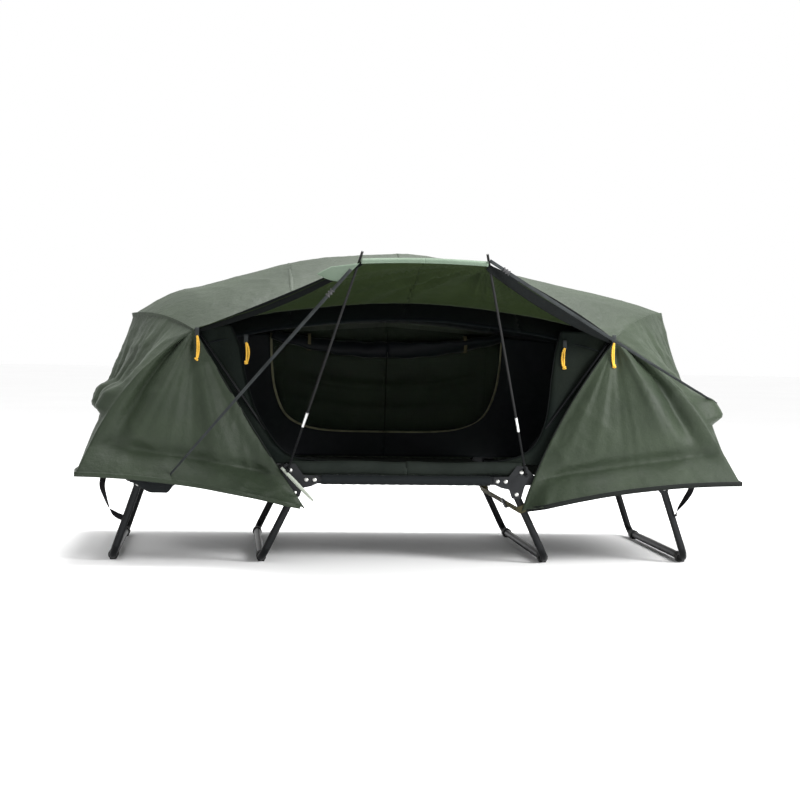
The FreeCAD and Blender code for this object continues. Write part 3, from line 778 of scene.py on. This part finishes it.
def poly_at(points, t):
    """A point a share t of the way along a run of points, smoothed."""
    spot = t * (len(points) - 1)
    i = min(int(spot), len(points) - 2)
    f = spot - i
    before, a, b, after = points[max(i - 1, 0)], points[i], points[i + 1], points[min(i + 2, len(points) - 1)]

    def blended(p, a, b, q):
        square, cube = 2 * p - 5 * a + 4 * b - q, 3 * a - p - 3 * b + q
        return 0.5 * (2 * a + (b - p) * f + square * f * f + cube * f**3)

    return tuple(blended(*values) for values in zip(before, a, b, after))


def front_y(z):
    """Where the inner tent's front stands at a height."""
    return -0.372 - 0.05 * smooth((0.80 - z) / 0.5)


def rear_y(z):
    """Where the inner tent's rear stands at a height."""
    return 0.335 + 0.055 * smooth((0.80 - z) / 0.5)


for side in ("left", "right"):
    fly = Fly(side)
    sign, end = fly.sign, f"{side}_end"

    def wall(u, v):
        x, z = poly_at(DOOR[side], v)
        out_x = mix(0.70, 1.02, smooth((0.80 - z) / 0.5))
        p = V((mix(x, out_x, u), 0, mix(z, mix(0.80, 0.312, v), u)))
        p.y = front_y(p.z) - 0.004 * math.sin(9 * u + 4 * v) * math.sin(math.pi * u)
        return p

    def roof_in(u, v):
        p = fly.roof(-CENTRE_LAP, FOLD_X + 0.004, FOLD_X + 0.004)(u, 0.02 + 0.96 * v)
        p.z -= ROOF_GAP
        return p

    def roof_in_end(u, v):
        p = fly.roof(FOLD_X, fly.tip.x - 0.10, fly.corner.x - 0.03)(u, 0.02 + 0.96 * v)
        p.z -= ROOF_GAP
        return p

    def rear_in(u, v):
        x = mix(-0.002, 0.66, u)
        z = mix(0.812 - 0.05 * u, 0.309, v)
        return V((x, rear_y(z), z))

    def end_in(u, v):
        across = 2 * u - 1
        z = mix(0.77, 0.312, v)
        return V((mix(0.70, 0.86, 1 - abs(across) ** 3) + 0.06 * v, across * 0.375, z))

    def outside_window(index, u, v):
        p = rear_in(u, v)
        if p.z < 0.405:
            return True
        edge = 0.0
        for (x0, z0), (x1, z1) in zip(WINDOW, WINDOW[1:]):
            if z0 <= p.z <= z1:
                edge = mix(x0, x1, (p.z - z0) / max(z1 - z0, 1e-6))
        return p.x > (edge or 0.445)

    front_wall = soft(
        cloth_piece(f"inner_front_{side}", sign, [(wall, 16, 40, 0.4, 0.6)], INNER, 0.5), end,
        [f"{side}_inner_tent_end"],
    )
    ceiling = soft(
        cloth_piece(f"inner_roof_{side}", sign, [(roof_in, 20, 36, 0.4, 0.9)], NET, 0.5), "center",
        [f"{side}_inner_tent_middle"],
    )
    ceiling = soft(
        cloth_piece(f"inner_roof_end_{side}", sign, [(roof_in_end, 20, 36, 0.4, 0.9)], NET, 0.5), end,
    )
    back_wall = soft(
        cloth_piece(
            f"inner_rear_{side}", sign, [(rear_in, 66, 60, 0.66, 0.5)], NET, 0.4, keep_face=outside_window
        ),
        "center",
    )
    end_wall = soft(
        cloth_piece(f"inner_end_{side}", sign, [(end_in, 24, 16, 0.8, 0.45)], NET, 0.5), end,
    )

    def in_window(index, u, v):
        return not outside_window(index, u, v)

    def net_at(u, v):
        return rear_in(u, v) - V((0, 0.004, 0))

    window = soft(
        cloth_piece(
            f"window_net_{side}", sign, [(net_at, 66, 60, 0.66, 0.5)], WINDOW_NET, 0.2, keep_face=in_window
        ),
        "center",
    )

    door_line = [V((x, front_y(z) - 0.003, z)) for x, z in (poly_at(DOOR[side], i / 60) for i in range(61))]
    edge = line_piece(
        f"door_binding_{side}", sign, door_line, strap_section(0.009, 0.003), ZIP_BLACK_AND_SHADE, width_axis=(0, 1, 0.2)
    )
    soft(edge, end)
    frame_line = [V((x, rear_y(z) - 0.005, z)) for x, z in (poly_at(WINDOW, i / 60) for i in range(61))]
    edge = line_piece(
        f"window_binding_{side}", sign, frame_line, strap_section(0.010, 0.003), BINDING,
        width_axis=(0.7, 0.5, 0.3),
    )
    soft(edge, "center")

    # the rolled-up window cover, hanging in a shallow curve from its two ties
    roll = []
    for i in range(41):
        x = 0.44 * i / 40
        roll.append(V((x, 0.318, 0.722 + 0.052 * (x / 0.44) ** 2 + 0.002 * math.sin(60 * x))))
    lumpy = [(0.030 * math.cos(a) * (1 + 0.12 * math.sin(3 * a)), 0.018 * math.sin(a)) for a in angles(18)]
    rolled = line_piece(f"window_roll_{side}", sign, roll, lumpy, NET, (0, 0, 1), twist=1.4)
    soft(rolled, "center")
    loop = [V((0.30, 0.318 + 0.024 * math.sin(a), 0.748 + 0.032 * math.cos(a))) for a in angles(24, 1)]
    tie = line_piece(f"window_tie_{side}", sign, loop, strap_section(0.012, 0.0016), OLIVE_WEB, (1, 0, 0))
    soft(tie, "center")

    # the sill under the door, with a turned top edge
    def sill(u, v):
        x = -0.002 + 0.400 * u
        z = mix(0.346, 0.303, v)
        y = -0.428 - 0.008 * math.sin(math.pi * v) - 0.002 * math.sin(40 * x)
        return V((x, y, z + 0.002 * math.sin(21 * x + 2 * sign)))

    low_wall = soft(
        cloth_piece(f"door_sill_{side}", sign, [(sill, 40, 6, 0.39, 0.05)], SILL, 0.5), "center",
    )

# ---- bed fabric -----------------------------------------------------------------------------

RAIL_Y, RAIL_Z = 0.430, 0.284


def bed_section(name, body, low_x, high_x, sleeves, node):
    """A stretched sheet with a slight sag and a sewn sleeve over each rail it hangs from."""

    def surface(u, v):
        x, y = mix(low_x, high_x, u), mix(-RAIL_Y, RAIL_Y, v)
        dip = math.sin(math.pi * v) ** 0.6 * (math.sin(math.pi * u) ** 0.4 if sleeves else 1.0)
        pucker = 0.0012 * math.sin(x * 210) * bell(abs(y), RAIL_Y, 0.05)
        return V((x, y, 0.3003 - 0.010 * dip + pucker))

    sheet_part = cloth_piece(name, 1, [(surface, 50, 60, high_x - low_x, 0.86)], BED, 0.25, thickness=0.0016)
    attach(sheet_part, body)
    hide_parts(node)
    for tag, line in sleeves.items():
        points = [put(p) for p in line]
        bm_line = []
        for a, b in zip(points, points[1:]):
            n = max(2, int((b - a).length / 0.012))
            bm_line += [mix(a, b, i / n) for i in range(n)]
        bm_line.append(points[-1])
        skin = section_tube(
            f"{name}_sleeve_{tag}", bm_line, round_section(0.0166, 20), BED, closed_ends=False
        )
        for v in skin.data.vertices:
            v.co.z += 0.0006 * math.sin(v.co.x * 190 + v.co.y * 150)
        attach(skin, body)


def rails(start, stop):
    """The front and back rail between two places along the bed."""
    return {tag: [(start, y, RAIL_Z), (stop, y, RAIL_Z)] for tag, y in (("front", -RAIL_Y), ("back", RAIL_Y))}


bed_section("bed_center", "center", -0.342, 0.342, rails(-0.288, 0.288), "center_bed_panel")
for side, sign in (("left", -1), ("right", 1)):
    low_x, high_x = sorted((sign * 0.452, sign * 0.905))
    start, stop = sorted((sign * 0.470, sign * 0.868))
    bed_section(f"bed_{side}", f"{side}_end", low_x, high_x, rails(start, stop), f"{side}_bed_panel")

# ---- cords and straps -----------------------------------------------------------------------

GUYS = {
    "left": [(-0.232, -0.872, 0.975), (-0.520, -0.694, 0.634), (-0.806, -0.506, 0.286)],
    "right": [(0.204, -0.872, 1.012), (0.655, -0.622, 0.772), (1.086, -0.392, 0.560)],
}
GUY_FACE = {"left": (0.77, 0.1, -0.64), "right": (0.45, 0, 0.88)}
for side, points in GUYS.items():
    line = read_line(nurbs(f"guy_path_{side}", points))
    strap = section_tube(
        f"guy_strap_{side}_web", line, strap_section(0.011, 0.0018), GREY_WEB, width_axis=GUY_FACE[side],
        twist=1.15,
    )
    soft(strap, "center", [f"{side}_guy_strap"])
    spot = 3 if side == "right" else 5
    along = (line[spot + 1] - line[spot]).normalized()
    slide = [line[spot] + along * (0.0025 * i - 0.012) for i in range(11)]
    slider = section_tube(
        f"guy_slider_{side}", slide, strap_section(0.018, 0.006), BUCKLE, width_axis=GUY_FACE[side]
    )
    taper(slider, slide, lambda t: 0.72 + 0.28 * math.cos(4 * math.pi * t))
    soft(slider, "center")
    tuple(put(points[0]))

PULLS = {
    "fly": [(0.712, -0.424, 0.762), (0.709, -0.427, 0.722), (0.713, -0.426, 0.680)],
    "door": [(0.548, -0.386, 0.742), (0.543, -0.389, 0.708), (0.547, -0.387, 0.672)],
}
for side, sign in (("left", -1), ("right", 1)):
    for kind, points in PULLS.items():
        points = [(sign * x, y, z) for x, y, z in points]
        line = read_line(nurbs(f"{kind}_path_{side}", points))
        grip = section_tube(f"{kind}_pull_{side}_cord", line, round_section(0.003, 10), GOLD)
        soft(grip, f"{side}_end", [f"{side}_{kind}_pull"])
        top_x, top_y, top_z = points[0]
        tab_line = [put((top_x, top_y + 0.002, top_z + rise)) for rise in (0.028, 0.018, 0.008, -0.004)]
        tab = section_tube(
            f"{kind}_pull_{side}_tab", tab_line, strap_section(0.014, 0.002), GREY_WEB,
            width_axis=(1, 0, 0),
        )
        soft(tab, f"{side}_end")
        knot_at = put(points[-1])
        knot_line = [
            knot_at + V((0.0045 * math.sin(2 * a), 0.0045 * math.cos(a), 0.004 * math.sin(a) + 0.003))
            for a in angles(20, 1)
        ]
        knot = section_tube(f"{kind}_pull_{side}_knot", knot_line, round_section(0.0027, 8), GOLD)
        soft(knot, f"{side}_end")
        count = len(line) - 1
        bow = 0.006 if kind == "fly" else 0.008
        other = [
            p + V((-sign * bow * abs(math.sin(math.pi * i / count)) ** 0.5, -0.001, 0))
            for i, p in enumerate(line)
        ]
        strand = section_tube(f"{kind}_pull_{side}_strand", other, round_section(0.0028, 8), GOLD)
        soft(strand, f"{side}_end")
        tuple(put(points[0]))

TIES = {
    "left": [
        (1.010, -0.470, 0.300), (1.016, -0.474, 0.262), (1.006, -0.468, 0.222),
        (0.990, -0.458, 0.180), (0.970, -0.440, 0.160), (0.951, -0.428, 0.150),
    ],
    "right": [
        (0.990, -0.462, 0.292), (0.984, -0.452, 0.258), (0.968, -0.434, 0.222),
        (0.950, -0.420, 0.190), (0.944, -0.416, 0.166),
    ],
}
for side, sign in (("left", -1), ("right", 1)):
    route = TIES[side]
    line = []
    for i in range(33):
        x, y, z = poly_at(route, i / 32)
        line.append(put((x * sign, y, z)))
    tie = section_tube(
        f"hem_tie_{side}_web", line, strap_section(0.020, 0.0016), BLACK_WEB, width_axis=(1, 0.2, 0),
        twist=2.6,
    )
    soft(tie, f"{side}_end", [f"{side}_hem_tie"])

# the sleeve that joins the two halves of the ridge pole
sleeve = []
for i in range(17):
    x = -0.045 + 0.09 * i / 16
    sleeve.append(put((x, 0, curve_at(SIDES["right" if x > 0 else "left"]["ridge"], abs(x)) - 0.014)))
joiner = section_tube("ridge_sleeve", sleeve, round_section(0.0058), ALLOY)
soft(joiner, "center", ["ridge_ferrule"])

# a tapered stay beside the foot of the left pole, and the dark pocket under the left hem
stay = [mix(put((-0.425, -0.470, 0.326)), put((-0.317, -0.478, 0.216)), i / 12) for i in range(13)]
bar = section_tube("pole_stay", stay, strap_section(0.010, 0.005), STAY, width_axis=(1, 0, 1))
taper(bar, stay, lambda t: 0.55 + 0.75 * math.sin(math.pi * (0.15 + 0.75 * t)))
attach(bar, "center")


def pocket(u, v):
    x = mix(-0.940, -0.792, u)
    low = 0.034 * smooth(u / 0.5) * (1 - smooth((u - 0.82) / 0.18) * 0.8)
    return V((x + 0.012 * v, -0.418 - 0.012 * math.sin(math.pi * v), mix(0.296, 0.268 - low, v)))


flap = cloth_piece("left_hem_pocket", 1, [(pocket, 24, 10, 0.15, 0.05)], BED, 0.2)
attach(flap, "left_end")


# a flap at the left awning corner in the pale lip cloth: its paleness is painted light, for the awning's top
# side lit from above
def corner_flap(u, v):
    a, b = V((-0.335, -0.800, 0.962)), V((-0.262, -0.850, 0.938))
    c, d = V((-0.205, -0.862, 0.996)), V((-0.290, -0.815, 0.985))
    p = mix(mix(a, b, u), mix(d, c, u), v)
    return p + V((0, 0, -0.006 * math.sin(math.pi * u) * (1 - v)))


flap = cloth_piece("awning_corner_flap", 1, [(corner_flap, 12, 8, 0.09, 0.05)], LIP_PAINTED_LIGHT, 0.5)
soft(flap, "center")

# ---- finishes on the CAD parts --------------------------------------------------------------

FINISH = [
    (("bolts", "hoop_pins"), ZINC),
    (("feet",), RUBBER),
    (("pole_ferrule", "ridge_ferrule"), ALLOY),
    (("awning_pole", "_hoop"), POLE),
    (("closure_strap",), OLIVE_WEB),
    (("closure_buckle",), BUCKLE),
]
for node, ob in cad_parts.items():
    chosen = STEEL
    if node != "awning_pole_lugs" and node != "hoop_brackets":
        for words, material in FINISH:
            if any(word in node for word in words):
                chosen = material
                break
    ob.data.materials.clear()
    ob.data.materials.append(chosen)

# ---- floor and light ------------------------------------------------------------------------

bm = bmesh.new()
bmesh.ops.create_grid(bm, x_segments=2, y_segments=2, size=40)
FLOOR = Look("pale_floor")
FLOOR.colour(FLOOR.ramp(FLOOR.noise(0.6, 2.0), [(0.3, (0.955, 0.955, 0.955)), (0.7, (0.975, 0.975, 0.975))]))
FLOOR.set(Roughness=0.9)
floor = new_object("floor", bm, FLOOR.material)

world = bpy.data.worlds.new("studio")
bpy.context.scene.world = world
world.use_nodes = True
world.node_tree.nodes["Background"].inputs["Color"].default_value = (1.0, 1.0, 1.0, 1.0)
world.node_tree.nodes["Background"].inputs["Strength"].default_value = 1.0


def area_light(name, place, target, size, power):
    data = bpy.data.lights.new(name, "AREA")
    data.shape, data.size, data.energy = "SQUARE", size, power
    ob = bpy.data.objects.new(name, data)
    bpy.context.collection.objects.link(ob)
    ob.location = place
    ob.rotation_euler = (V(target) - V(place)).to_track_quat("-Z", "Y").to_euler()


area_light("overhead", (0.4, 0.5, 4.2), (0, 0.2, 0.6), 2.6, 340)
area_light("right_front", (2.7, -2.0, 1.9), (0.8, -0.3, 0.5), 1.2, 140)
bpy.context.scene.view_settings.view_transform = "Standard"
